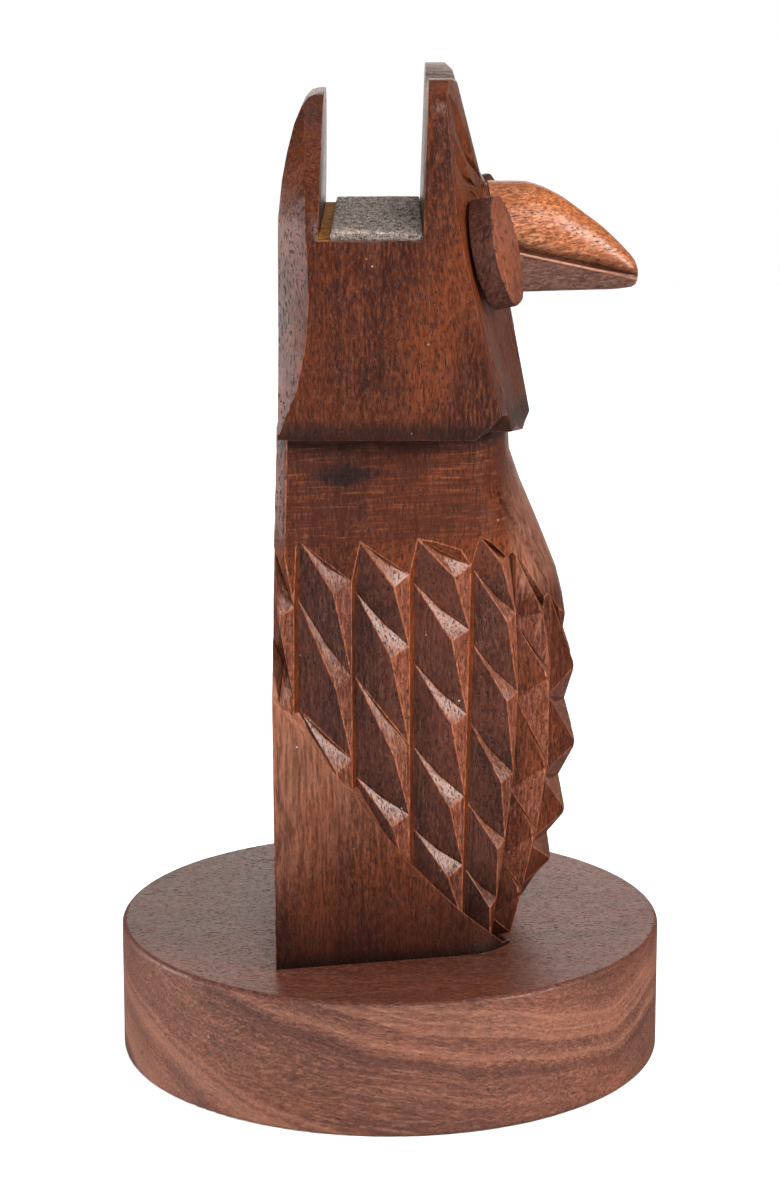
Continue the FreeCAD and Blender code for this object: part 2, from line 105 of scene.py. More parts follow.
def make_lights(floor):
    """White behind the owl, a dim white sky, five soft boxes, and a sun that only the floor receives."""
    world = bpy.data.worlds.new("studio")
    world.use_nodes = True
    tree = world.node_tree
    sky, backdrop = tree.nodes["Background"], tree.nodes.new("ShaderNodeBackground")
    for shader, strength in ((sky, 0.12), (backdrop, 1)):
        shader.inputs["Color"].default_value = (1, 1, 1, 1)
        shader.inputs["Strength"].default_value = strength
    seen = tree.nodes.new("ShaderNodeLightPath")
    choose = tree.nodes.new("ShaderNodeMixShader")
    sources = (seen.outputs["Is Camera Ray"], sky.outputs[0], backdrop.outputs[0])
    for source, socket in zip(sources, choose.inputs):
        tree.links.new(source, socket)
    tree.links.new(choose.outputs[0], tree.nodes["World Output"].inputs["Surface"])
    scene.world = world
    scene.view_settings.view_transform = "Standard"
    area_light("top", (0.1, -0.05, 1.3), (1.2, 1.2), 3.5)
    area_light("key", (-0.46, -0.88, 0.58), (0.45, 0.5), 16, (1, 0.96, 0.92))
    area_light("front_high", (-0.9, -0.14, 0.6), (0.27, 0.27), 4.5)
    area_light("far_side", (1, -0.02, 0.15), (0.5, 0.8), 2.6, (1, 0.9, 0.84))
    area_light("rear", (0.05, 1, 0.22), (0.9, 0.7), 15, (1, 0.97, 0.97))
    wash = new_lamp("floor_wash", "SUN", 2.1)
    wash.data.angle = math.radians(50)
    lit = bpy.data.collections.new("floor_only")
    lit.objects.link(floor)
    wash.light_linking.receiver_collection = lit


def make_floor():
    """A plain pale disc, which doesn't show in the owl's reflections."""
    bm = bmesh.new()
    bmesh.ops.create_circle(bm, cap_ends=True, segments=96, radius=1.2)
    paint = Graph("floor_paint").end(Base_Color=(0.9, 0.9, 0.9, 1), Roughness=0.9, Specular_IOR_Level=0.1)
    floor = new_object("floor", bm, [paint])
    floor.visible_glossy = False
    return floor


# ---------------- materials

class Graph:
    """A material's node tree, with short calls that make a node, join its inputs and give its output."""

    def __init__(self, name):
        self.material = bpy.data.materials.new(name)
        self.material.use_nodes = True
        self.tree = self.material.node_tree
        self.place = self.node("TexCoord", {}, "Object")

    def feed(self, node, inputs):
        """Gives each input its value, or joins it to the socket that stands in the value's place."""
        for key, value in inputs.items():
            if isinstance(value, bpy.types.NodeSocket):
                self.tree.links.new(value, node.inputs[key])
            else:
                node.inputs[key].default_value = value

    def node(self, kind, inputs, output=0, **settings):
        made = self.tree.nodes.new("ShaderNode" + kind)
        for key, value in settings.items():
            setattr(made, key, value)
        self.feed(made, inputs)
        return made.outputs[output]

    def stretch(self, source, scale, turn=(0, 0, 0)):
        return self.node("Mapping", {"Vector": source, "Scale": scale, "Rotation": turn})

    def noise(self, source, scale, detail=3, roughness=0.55, distortion=0):
        """A field of about 0.3 to 0.7."""
        inputs = {"Vector": source, "Scale": scale, "Detail": detail, "Roughness": roughness}
        return self.node("TexNoise", {**inputs, "Distortion": distortion})

    def fibres(self, source, length, *settings):
        """Noise drawn out along Z, more so for a smaller length."""
        return self.noise(self.stretch(source, (1, 1, length)), *settings)

    def span(self, value, low, high, to_low=0, to_high=1):
        """Goes from to_low to to_high as the value goes from low to high, and stays there beyond."""
        limits = {"From Min": low, "From Max": high, "To Min": to_low, "To Max": to_high}
        return self.node("MapRange", {"Value": value, **limits})

    def maths(self, kind, a, b=0):
        return self.node("Math", {0: a, 1: b}, operation=kind)

    def plus(self, a, b):
        return self.maths("ADD", a, b)

    def times(self, a, b):
        return self.maths("MULTIPLY", a, b)

    def most(self, a, b):
        return self.maths("MAXIMUM", a, b)

    def vector(self, kind, inputs, output=0):
        return self.node("VectorMath", inputs, output, operation=kind)

    def measure(self, direction):
        """How far a point of the piece lies along a direction."""
        return self.vector("DOT_PRODUCT", {0: self.place, 1: direction}, "Value")

    def blend(self, factor, a, b):
        """From colour a to colour b as the factor rises from 0 to 1. Each is a socket or display values."""
        a, b = (linear_rgb(c) if isinstance(c, tuple) else c for c in (a, b))
        return self.node("Mix", {0: factor, 6: a, 7: b}, 2, data_type="RGBA")

    def coats(self, colour, *coats):
        """Lays coats over a colour in turn. Each is a mask and a colour."""
        for mask, tone in coats:
            colour = self.blend(mask, colour, tone)
        return colour

    def bump(self, height, distance, strength, **under):
        """Relief. Finer relief takes the coarser relief under it as Normal."""
        inputs = {"Height": height, "Distance": distance, "Strength": strength}
        return self.node("Bump", {**inputs, **under})

    def end(self, **inputs):
        """Feeds the shader. An input's name has underscores for its spaces."""
        shader = self.tree.nodes["Principled BSDF"]
        self.feed(shader, {key.replace("_", " "): value for key, value in inputs.items()})
        return self.material


def linear_rgb(shown):
    """Linear colour from display values 0 to 255."""
    parts = [c / 255 for c in shown]
    return [c / 12.92 if c <= 0.04045 else ((c + 0.055) / 1.055) ** 2.4 for c in parts] + [1]


# The beak's mouth line: its height at one reach, and how fast it falls from there.
MOUTH_REACH, MOUTH_ROOT, MOUTH_SLOPE = 22, 149.5, 0.235
# The glued seam behind the beak: its reach at the top, and how far it leans forward per mm down.
BEAK_SEAM, BEAK_LEAN = 17, 0.163
BEAK_ROOT_TOP, BEAK_ROOT_LOW = 15.8, 19.6  # reaches of the beak's back end


def timber(g, tones, turn=(0, 0, 0), pores=0.8, streaks=0.5, dust=0.5, specks=0.75):
    """Open-pored hardwood with its grain along Z once turned. Gives its colour, fibre and pore fields."""
    deep, body, warm, pale = tones
    grain = g.stretch(g.place, (1, 1, 1), turn)
    wander = g.fibres(grain, 0.25, 45, 2)
    offset = g.node("CombineXYZ", {"X": wander, "Y": wander})
    drift = g.vector("SCALE", {0: offset, "Scale": 0.01})
    bent = g.vector("ADD", {0: grain, 1: drift})
    fibre = g.fibres(bent, 0.06, 1700, 4, 0.65)
    figure = g.fibres(bent, 0.14, 140, 4, 0.6, 0.4)
    patch = g.fibres(grain, 0.6, 62, 3, 0.6)
    speckle = g.fibres(bent, 0.36, 2100, 3, 0.75)
    pore = g.span(g.fibres(bent, 0.3, 3200, 1, 0.5), 0.61, 0.68)
    fleck_field = g.node("TexVoronoi", {"Vector": g.place, "Scale": 480})
    fleck = g.times(g.span(fleck_field, 0.11, 0.07), g.span(g.noise(g.place, 160, 2), 0.62, 0.68))
    colour = g.coats(
        body,
        (g.span(figure, 0.42, 0.7, 0, 0.55), deep),
        (g.span(patch, 0.42, 0.66, 0, 0.8), warm),
        (g.span(fibre, 0.5, 0.74, 0, streaks), pale),
        (g.span(fibre, 0.48, 0.28, 0, streaks), deep),
        (g.span(speckle, 0.5, 0.66, 0, specks), deep),
        (g.span(speckle, 0.48, 0.34, 0, specks * 0.87), pale),
        (g.times(pore, pores), (24, 12, 10)),
        (g.times(fleck, dust), (200, 180, 170)),
    )
    return colour, fibre, pore


def surface(g, colour, fibre, pore, rough, tooled, shine=0.28, matt=None):
    """Tool marks, fibres and pores as relief, and a satin oiled finish, which is dull where matt is 1."""
    gouge = g.fibres(g.place, 0.7, 130, 2, 0.5)
    normal = g.bump(gouge, 0.0009 * tooled, 0.5)
    normal = g.bump(fibre, 0.00008, 0.6, Normal=normal)
    normal = g.bump(g.times(pore, -1), 0.00012, 0.7, Normal=normal)
    gloss = g.plus(g.span(fibre, 0.3, 0.7, rough - 0.05, rough + 0.1), g.times(pore, 0.25))
    if matt is not None:
        gloss = g.plus(gloss, g.times(matt, 0.5))
    return g.end(Base_Color=colour, Roughness=gloss, Normal=normal, Specular_IOR_Level=shine)


def wood(name, tones, rough=0.42, **look):
    g = Graph(name)
    return surface(g, *timber(g, tones, **look), rough, 1)


def spot(g, centre, radii, ragged=0.35):
    """A ragged round patch, 1 inside and 0 outside. Centre and radii are in millimetres."""
    scale = [1 / (r * MM) for r in radii]
    shift = [-c * MM * k for c, k in zip(centre, scale)]
    local = g.node("Mapping", {"Vector": g.place, "Scale": scale, "Location": shift})
    away = g.vector("LENGTH", {0: local}, "Value")
    torn = g.times(g.plus(g.noise(g.place, 700, 4, 0.65), -0.5), ragged * 4)
    return g.span(g.plus(away, torn), 1.05, 0.75)


def band(g, value, low, high, fade):
    """1 between two heights in millimetres, fading out over a short distance."""
    rise = g.span(value, (low - fade) * MM, low * MM)
    fall = g.span(value, (high + fade) * MM, high * MM)
    return g.times(rise, fall)


def owl_wood(name, tones, plain=False, shine=0.24, **look):
    """The carved block: saw marks and a dark knot round the neck, glue on the slot's floor, painted shade
    under the head, painted light on the chest, and painted shade with a contact shadow on the foot.
    """
    g = Graph(name)
    colour, fibre, pore = timber(g, tones, **look)
    height, back = g.measure(UP), g.measure(BACK)
    sawn = g.noise(g.stretch(g.place, (0.1, 0.05, 1)), 2200, 3, 0.6)
    neck = band(g, height, 102, 119, 2)
    knot = spot(g, (-33, 6.6, 113), (6, 7.2, 2.5))
    stain = spot(g, (-34, 14.4, 171.2), (5, 1.5, 2.6), 0.2)
    behind_felt = band(g, back, felt_high.y + 0.2, -SLOT_BACK - 0.1, 0.2)
    glue = g.times(behind_felt, band(g, height, felt_low.z - 0.05, felt_low.z + 0.3, 0.05))
    lumps = g.span(g.noise(g.place, 900, 3, 0.7), 0.4, 0.62)
    # painted light: a lighter, pinker patch on the chest's front below the head, where the light falls
    chest_painted_light = g.times(g.span(back, -0.0195, -0.0235), band(g, height, 92, 116, 4))
    ragged = g.times(g.noise(g.place, 60, 3), 0.012)
    colour = g.coats(
        colour,
        (g.times(neck, g.span(sawn, 0.38, 0.6, 0, 0.85)), (58, 24, 14)),
        (g.times(neck, g.span(sawn, 0.42, 0.28, 0, 0.3)), (150, 86, 50)),
        # painted shade: a dark band in the corner under the head's overhang
        (g.times(band(g, height, 118.6, 121.6, 2.4), 0.75), (34, 16, 12)),
        (g.times(knot, 0.85), (26, 14, 14)),
        (g.times(stain, 0.8), (30, 20, 24)),
        (glue, g.blend(lumps, (120, 70, 26), (196, 134, 62))),
        # painted light on the chest's front
        (g.times(chest_painted_light, g.span(fibre, 0.38, 0.6, 0.08, 0.42)), (176, 120, 98)),
        # painted shade: the foot darkens over its lowest 28 mm, and a nearly black painted contact shadow
        # lies in its last 3 mm above the disc
        (g.span(g.plus(height, ragged), (FOOT + 5) * MM, (FOOT + 28) * MM, 0.85, 0), (34, 12, 8)),
        (g.span(height, (FOOT + 0.3) * MM, (FOOT + 3) * MM, 0.85, 0), (16, 7, 5)),
    )
    if plain:
        # paler towards the top and back of the smooth wood
        paler_up_and_back = g.span(g.plus(g.measure((0, 0.5, 1)), ragged), 0.05, 0.082, 0, 0.55)
        colour = g.blend(g.times(paler_up_and_back, g.span(fibre, 0.4, 0.62, 0.35, 1)), colour, (166, 112, 88))
    return surface(g, colour, fibre, pore, 0.33, 1, shine, glue)


def base_wood_material(tones, top_tones):
    """The base disc: layered bands round its side and fine, darker, wavy grain on its oiled top."""
    g = Graph("base_wood")
    turn = (math.radians(84), 0, 0)
    side, fibre, pore = timber(g, tones, turn, pores=0.45, streaks=0.55, specks=0.45)
    layer = g.measure((-0.2, -0.24, 1))
    waver = g.times(g.noise(g.place, 20, 2), 0.012)
    fine_waver = g.times(g.noise(g.stretch(g.place, (1, 0.3, 1)), 150, 3), 0.0012)
    depth = g.plus(g.plus(layer, waver), fine_waver)
    ring_inputs = {"W": depth, "Scale": 120, "Detail": 5, "Roughness": 0.62}
    rings = g.node("TexNoise", ring_inputs, noise_dimensions="1D")
    darker, paler = g.span(rings, 0.52, 0.34, 0, 0.6), g.span(rings, 0.5, 0.7, 0, 0.6)
    side = g.coats(side, (darker, tones[0]), (paler, tones[3]))
    top, top_fibre, top_pore = timber(g, top_tones, (math.radians(90), 0, 0), pores=0.5, streaks=0.6)
    height = g.measure(UP)
    upper = g.span(height, (FOOT - 0.9) * MM, (FOOT - 0.3) * MM)
    colour = g.blend(upper, side, top)
    return surface(g, colour, g.most(fibre, top_fibre), g.most(pore, top_pore), 0.38, 0.25, 0.4)


def beak_material(tones, jaw_shade_tones):
    """Orange-brown wood along the beak, with a painted shadow above the mouth line. Below the mouth a pale
    lip, then a lower jaw in darker, greyer tones of painted shade.
    """
    g = Graph("beak_wood")
    turn = (math.radians(100), 0, 0)
    colour, fibre, pore = timber(g, tones, turn, pores=0.6, streaks=0.65, dust=0.2)
    # painted shade: darker, greyer tones for the lower jaw, under the upper jaw
    dull, dull_fibre, dull_pore = timber(g, jaw_shade_tones, turn, pores=0.5, streaks=0.5, dust=0.2)
    level = g.measure((0, -MOUTH_SLOPE, 1))
    mouth = (MOUTH_ROOT + MOUTH_SLOPE * MOUTH_REACH) * MM
    shadow = g.span(level, mouth + 0.0028, mouth + 0.0001, 0, 0.85)
    colour = g.blend(shadow, colour, (52, 24, 14))
    lip = g.span(level, mouth - 0.001, mouth - 0.0008)
    dull = g.blend(g.times(lip, g.span(fibre, 0.35, 0.6, 0.35, 1)), dull, (158, 104, 80))
    colour = g.blend(g.span(level, mouth - 0.0005, mouth - 0.0003), dull, colour)
    back = g.measure((0, -1, BEAK_LEAN))
    seam = (BEAK_SEAM + BEAK_LEAN * beak_high.z) * MM
    colour = g.blend(g.span(back, seam + 0.0001, seam - 0.0001), colour, (98, 48, 30))
    return surface(g, colour, g.most(fibre, dull_fibre), g.most(pore, dull_pore), 0.34, 0.3, 0.45)


def eye_material(name, tones):
    """Hand-cut discs with short curved cracks in their faces."""
    g = Graph(name)
    colour, fibre, pore = timber(g, tones, pores=0.6, streaks=0.5, dust=0.4)
    wave = g.fibres(g.place, 0.45, 260, 1, 0.5, 0.6)
    line = g.span(g.maths("ABSOLUTE", g.plus(wave, -0.5)), 0.02, 0.008)
    crack = g.times(line, g.span(g.noise(g.place, 300, 2), 0.46, 0.54))
    colour = g.blend(g.times(crack, 0.8), colour, (48, 22, 16))
    return surface(g, colour, fibre, g.most(pore, crack), 0.4, 1)


def felt_material():
    g = Graph("felt")
    clump = g.noise(g.stretch(g.place, (0.25, 1, 1)), 1300, 4, 0.8)
    hair = g.noise(g.stretch(g.place, (0.2, 1, 1), (0, 0, 0.3)), 2600, 1, 0.5, 1)
    cross = g.noise(g.stretch(g.place, (0.24, 1, 1), (0, 0, -0.45)), 2300, 1, 0.5, 1)
    fibre = g.most(g.span(hair, 0.55, 0.62), g.span(cross, 0.56, 0.63))
    colour = g.blend(g.span(clump, 0.44, 0.57), (70, 45, 36), (226, 194, 174))
    colour = g.blend(g.times(fibre, 0.85), colour, (244, 236, 226))
    sideways = g.measure(LEFT)
    end = felt_high.x * MM
    # painted shade on the felt's cut ends, darker than its top
    cut_end_shade = g.span(g.maths("ABSOLUTE", sideways), end - 0.0006, end - 0.0003, 0, 0.65)
    colour = g.blend(cut_end_shade, colour, (52, 46, 42))
    normal = g.bump(g.plus(clump, fibre), 0.0005, 0.9)
    return g.end(Base_Color=colour, Roughness=0.95, Normal=normal, Sheen_Weight=0.15, Sheen_Roughness=0.6)


def steel_material():
    g = Graph("screw_steel")
    turned = g.fibres(g.place, 6, 500, 3)
    blotch = g.noise(g.place, 180, 3)
    colour = g.blend(g.span(blotch, 0.4, 0.7), (150, 150, 153), (108, 106, 104))
    gloss = g.span(turned, 0.3, 0.7, 0.25, 0.48)
    normal = g.bump(turned, 0.0001, 0.5)
    return g.end(Base_Color=colour, Metallic=1, Roughness=gloss, Normal=normal)


# ---------------- mesh helpers

# The materials of the owl's body, by index: carved wood, its edges (worn and painted highlight), the smooth
# wood left below the feathers, and a feather's flank in painted shade, its ridge and hollow upper facets in
# painted light.
CARVED, EDGE, SKIRT, FLANK, RIDGE, LIT = range(6)


def new_object(name, bm, materials=()):
    """An object from a bmesh in millimetres. Normals are made to face outwards."""
    bmesh.ops.recalc_face_normals(bm, faces=bm.faces)
    mesh = bpy.data.meshes.new(name)
    bm.to_mesh(mesh)
    bm.free()
    for material in materials:
        mesh.materials.append(material)
    return show(name, mesh)


def settle(piece):
    """Applies the piece's modifiers."""
    graph = bpy.context.evaluated_depsgraph_get()
    mesh = bpy.data.meshes.new_from_object(piece.evaluated_get(graph))
    piece.modifiers.clear()
    old = piece.data
    piece.data = mesh
    bpy.data.meshes.remove(old)


def carve(piece, tool, operation="DIFFERENCE"):
    """Cuts the tool out of the piece, or joins it on, and deletes the tool."""
    step = piece.modifiers.new("carve", "BOOLEAN")
    step.operation = operation
    step.object = tool
    step.solver = "EXACT"
    settle(piece)
    spent = tool.data
    bpy.data.objects.remove(tool)
    bpy.data.meshes.remove(spent)


@contextmanager
def opened(mesh):
    """The mesh as a bmesh, which is put back at the end of the block."""
    bm = bmesh.new()
    bm.from_mesh(mesh)
    yield bm
    bm.to_mesh(mesh)
    bm.free()


def drop_loose(bm):
    loose = [v for v in bm.verts if not v.link_faces]
    bmesh.ops.delete(bm, geom=loose, context="VERTS")


def join_rings(bm, a, b):
    """Faces between two closed rings with as many vertices."""
    for i in range(len(a)):
        j = (i + 1) % len(a)
        bm.faces.new((a[i], a[j], b[j], b[i]))


def join_lines(bm, lines):
    """Faces between each open line of vertices and the next."""
    for a, b in zip(lines, lines[1:]):
        for i in range(len(a) - 1):
            bm.faces.new((a[i], a[i + 1], b[i + 1], b[i]))


def hull(points):
    bm = bmesh.new()
    for point in points:
        bm.verts.new(point)
    bmesh.ops.convex_hull(bm, input=bm.verts)
    drop_loose(bm)
    return new_object("hull", bm)


def prism(outline, low, high, place, materials=()):
    """Extrudes a closed outline of (a, b) pairs from low to high; place(a, b, c) gives the point."""
    bm = bmesh.new()
    rings = [[bm.verts.new(place(a, b, c)) for a, b in outline] for c in (low, high)]
    bm.faces.new(rings[0])
    bm.faces.new(rings[1])
    join_rings(bm, *rings)
    return new_object("prism", bm, materials)


def across(reach, z, x):
    """For a side outline, which a prism carries from one side of the owl to the other."""
    return (x, -reach, z)


def along(x, z, reach):
    """For a front outline, which a prism carries from the owl's back to its front."""
    return (x, -reach, z)


def rod(radius, start, direction, length, sides=24):
    bm = bmesh.new()
    axis = Vector(direction).normalized()
    turn = axis.to_track_quat("Z", "X").to_matrix().to_4x4()
    place = Matrix.Translation(Vector(start) + axis * length / 2) @ turn
    bmesh.ops.create_cone(bm, cap_ends=True, segments=sides, radius1=radius, radius2=radius, depth=length,
                          matrix=place)
    return new_object("rod", bm)


def gouge(points, normals, width, depth):
    """A V-shaped cutter along points on a surface, running out to nothing at both ends."""
    bm = bmesh.new()
    rings = []
    above = 1.2  # how far the cutter stands out of the surface, as a share of its depth
    last = len(points) - 1
    for i, point in enumerate(points):
        point = Vector(point)
        normal = Vector(normals[i]).normalized()
        tangent = (Vector(points[min(i + 1, last)]) - Vector(points[max(i - 1, 0)])).normalized()
        side = normal.cross(tangent).normalized()
        size = 0.08 if i in (0, last) else 1
        lift = depth * above
        half = width / 2 * size * (1 + above)
        rings.append([
            bm.verts.new(point + side * half + normal * lift),
            bm.verts.new(point - side * half + normal * lift),
            bm.verts.new(point - normal * depth * size),
        ])
    for a, b in zip(rings, rings[1:]):
        join_rings(bm, a, b)
    bm.faces.new(rings[0])
    bm.faces.new(rings[-1])
    return new_object("gouge", bm)


def soften(piece, width, angle):
    """Rounds the edges that stick out by more than the angle, and gives them the edge wood: lighter for wear
    and painted highlight.
    """
    with opened(piece.data) as bm:
        layers = bm.edges.layers.float
        weight = layers.get("bevel_weight_edge") or layers.new("bevel_weight_edge")
        for edge in bm.edges:
            turn = edge.calc_face_angle_signed(0)
            edge[weight] = 1 if turn > math.radians(angle) else 0
    step = piece.modifiers.new("soften", "BEVEL")
    step.limit_method = "WEIGHT"
    step.width = width
    step.segments = 2
    step.material = EDGE
    step.use_clamp_overlap = True
    settle(piece)


def flatten(piece):
    """Joins neighbouring flat triangles into whole faces."""
    with opened(piece.data) as bm:
        bmesh.ops.remove_doubles(bm, verts=bm.verts, dist=0.002)
        bmesh.ops.dissolve_limit(bm, angle_limit=math.radians(0.5), verts=bm.verts, edges=bm.edges)


def split_large_faces(bm):
    bmesh.ops.triangulate(bm, faces=[f for f in bm.faces if len(f.verts) > 4])


def join_close(piece):
    """Takes out the tiny edges that cuts leave where they meet."""
    gap = 0.012
    with opened(piece.data) as bm:
        bmesh.ops.remove_doubles(bm, verts=bm.verts, dist=gap)
        split_large_faces(bm)
        bmesh.ops.dissolve_degenerate(bm, edges=bm.edges, dist=gap)


def finish_piece(piece, nodes, sharp=24):
    mesh = piece.data
    mesh.transform(Matrix.Scale(MM, 4))
    with opened(mesh) as bm:
        split_large_faces(bm)
        for face in bm.faces:
            face.smooth = True
        for edge in bm.edges:
            edge.smooth = edge.calc_face_angle(math.pi) < math.radians(sharp)
    mesh.update()
    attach(piece, "root")
    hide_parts(*nodes)


# ---------------- the trunk and its feathers

BACK_HALF = 33.4
BACK_REACH = -20.5
SIDE_REACH, SIDE_HALF = 15.5, 25
BREAST_CENTRE, BREAST_RADIUS = 8.3, 26
NECK_TOP = 121.5

SIDE_LENGTH = math.hypot(SIDE_REACH - BACK_REACH, BACK_HALF - SIDE_HALF)
BREAST_START = math.asin((SIDE_REACH - BREAST_CENTRE) / BREAST_RADIUS)
FRONT_STEP = SIDE_LENGTH + BREAST_RADIUS * (math.pi / 2 - BREAST_START)

# Lines of pairs: a height, then a size that changes with it. First, how far forward the breast stands.
BREAST_LINE = [
    (24.5, 26), (31, 28.2), (37.5, 29.9), (45.9, 32.4), (52, 33.6), (58.8, 34.2),
    (66, 34.4), (73.4, 33.9), (82.5, 32.3), (90, 30.6), (93.7, 29.2), (104.8, 24.6),
    (108.6, 22.9), (112.5, 21.6), (116, 21.3), (124, 21.3),
]
HALF_LINE = [(24.5, 32.7), (101, 33.4), (124, 31.8)]
BACK_LINE = [(24.5, 20.2), (85, 20.5), (124, 19.4)]

# Each column of feathers: how far round from the back corner its groove lies, then its tips' heights.
COLUMNS = [
    (-5.1, (88.5, 71.6, 57)),
    (5.3, (92.4, 75.3, 60.3, 46)),
    (15.7, (93.1, 80.4, 62.5, 49.6, 37)),
    (26.1, (94.3, 82.8, 67.4, 52.2, 39.5)),
    (36.5, (96, 85.4, 71.1, 56.2, 43.8, 33)),
    (46.9, (85.9, 74, 57.6, 45.1, 34)),
    (57, (73.4, 58.8, 45.9, 36.8)),
]
# heights and reaches of the notches on the middle line, between the tips of the last column
BREAST_NOTCHES = [(78.7, 31.7), (66, 32.2), (51.3, 31.3), (40.2, 29.3), (32, 27.2)]
# Lines of pairs: how far round from the back corner, then the height of an edge there.
FEATHER_TOP = [
    (-34, 101.3), (37, 101.3), (43, 99.5), (46.5, 97), (49, 94.5), (55.8, 88.5),
    (65, 83), (71, 82),
]
SKIRT_TOP = [
    (-10, 88), (-6.3, 83), (0, 74), (12, 58.8), (24, 43.2), (36, 31),
    (46.5, 25.5), (60, 24.6),
]
BREAST_STEP = 44  # the columns from here on are on the breast
GROOVE_DEPTH = 3
GROOVE_DROP = 4.2  # from a tip down to the deepest point of the groove beside it
RIDGE_DEPTH = 1.3
RIDGE_STRIP = 1.2


def read(line, at, column=1):
    """A line's value between its points."""
    return float(np.interp(at, [p[0] for p in line], [p[column] for p in line]))


def skin(step, z, depth=0):
    """Point on the trunk, given how far round from the back corner and how high, sunk by depth."""
    if step < 0:
        reach, half = BACK_REACH, max(BACK_HALF + step, 0)
        out = (-1, 0)
    elif step <= SIDE_LENGTH:
        t = step / SIDE_LENGTH
        reach = BACK_REACH + (SIDE_REACH - BACK_REACH) * t
        half = BACK_HALF + (SIDE_HALF - BACK_HALF) * t
        out = ((BACK_HALF - SIDE_HALF) / SIDE_LENGTH, (SIDE_REACH - BACK_REACH) / SIDE_LENGTH)
    else:
        turn = min(BREAST_START + (step - SIDE_LENGTH) / BREAST_RADIUS, math.pi / 2)
        full = BREAST_CENTRE + BREAST_RADIUS - SIDE_REACH
        forward = BREAST_RADIUS * math.sin(turn) - (SIDE_REACH - BREAST_CENTRE)
        reach = SIDE_REACH + forward * (read(BREAST_LINE, z) - SIDE_REACH) / full
        half = BREAST_RADIUS * math.cos(turn)
        out = (math.sin(turn), math.cos(turn))
    reach -= out[0] * depth
    half -= out[1] * depth
    half *= read(HALF_LINE, z) / BACK_HALF
    if reach < 0:
        reach *= read(BACK_LINE, z) / -BACK_REACH
    return Vector((half, -reach, z))


def strip(bm, left, right):
    """Triangles between two lines of vertices that both run from the top down."""
    i = j = 0
    while i < len(left) - 1 or j < len(right) - 1:
        down_left = j == len(right) - 1 or (i < len(left) - 1 and left[i + 1].co.z >= right[j + 1].co.z)
        if down_left:
            bm.faces.new((left[i], left[i + 1], right[j]))
            i += 1
        else:
            bm.faces.new((left[i], right[j + 1], right[j]))
            j += 1


def foot_depth(step):
    """How far the feathers are cut back at the disc, which is further under the breast."""
    return 2.3 if step < 30 else 2.3 + 2.4 * min((step - 30) / 16, 1)


def lean(step, z):
    """The grooves on the breast drift forward with height, up to the last column."""
    if step > 60:
        return step
    return step + 0.07 * (z - 65) * min(max((step - 30) / 18, 0), 1)


def mirror_and_close(bm):
    """Adds the owl's other half, then closes the top and the bottom."""
    for vert in bm.verts:
        if abs(vert.co.x) < 0.01:
            vert.co.x = 0
    copy = bmesh.ops.duplicate(bm, geom=bm.verts[:] + bm.edges[:] + bm.faces[:])
    for item in copy["geom"]:
        if isinstance(item, bmesh.types.BMVert):
            item.co.x = -item.co.x
    bmesh.ops.remove_doubles(bm, verts=bm.verts, dist=0.004)
    rim = [e for e in bm.edges if e.is_boundary]
    bmesh.ops.holes_fill(bm, edges=rim, sides=0)


def blunt(bm, tips):
    """Rounds the feather tips at these places, and at their mirror images."""
    def is_tip(vert):
        here = Vector((abs(vert.co.x), vert.co.y, vert.co.z))
        return any((here - tip).length < 0.02 for tip in tips)

    worn = [vert for vert in bm.verts if is_tip(vert)]
    bmesh.ops.bevel(bm, geom=worn, offset=1.5, segments=2, profile=0.5, affect="VERTICES", clamp_overlap=True)


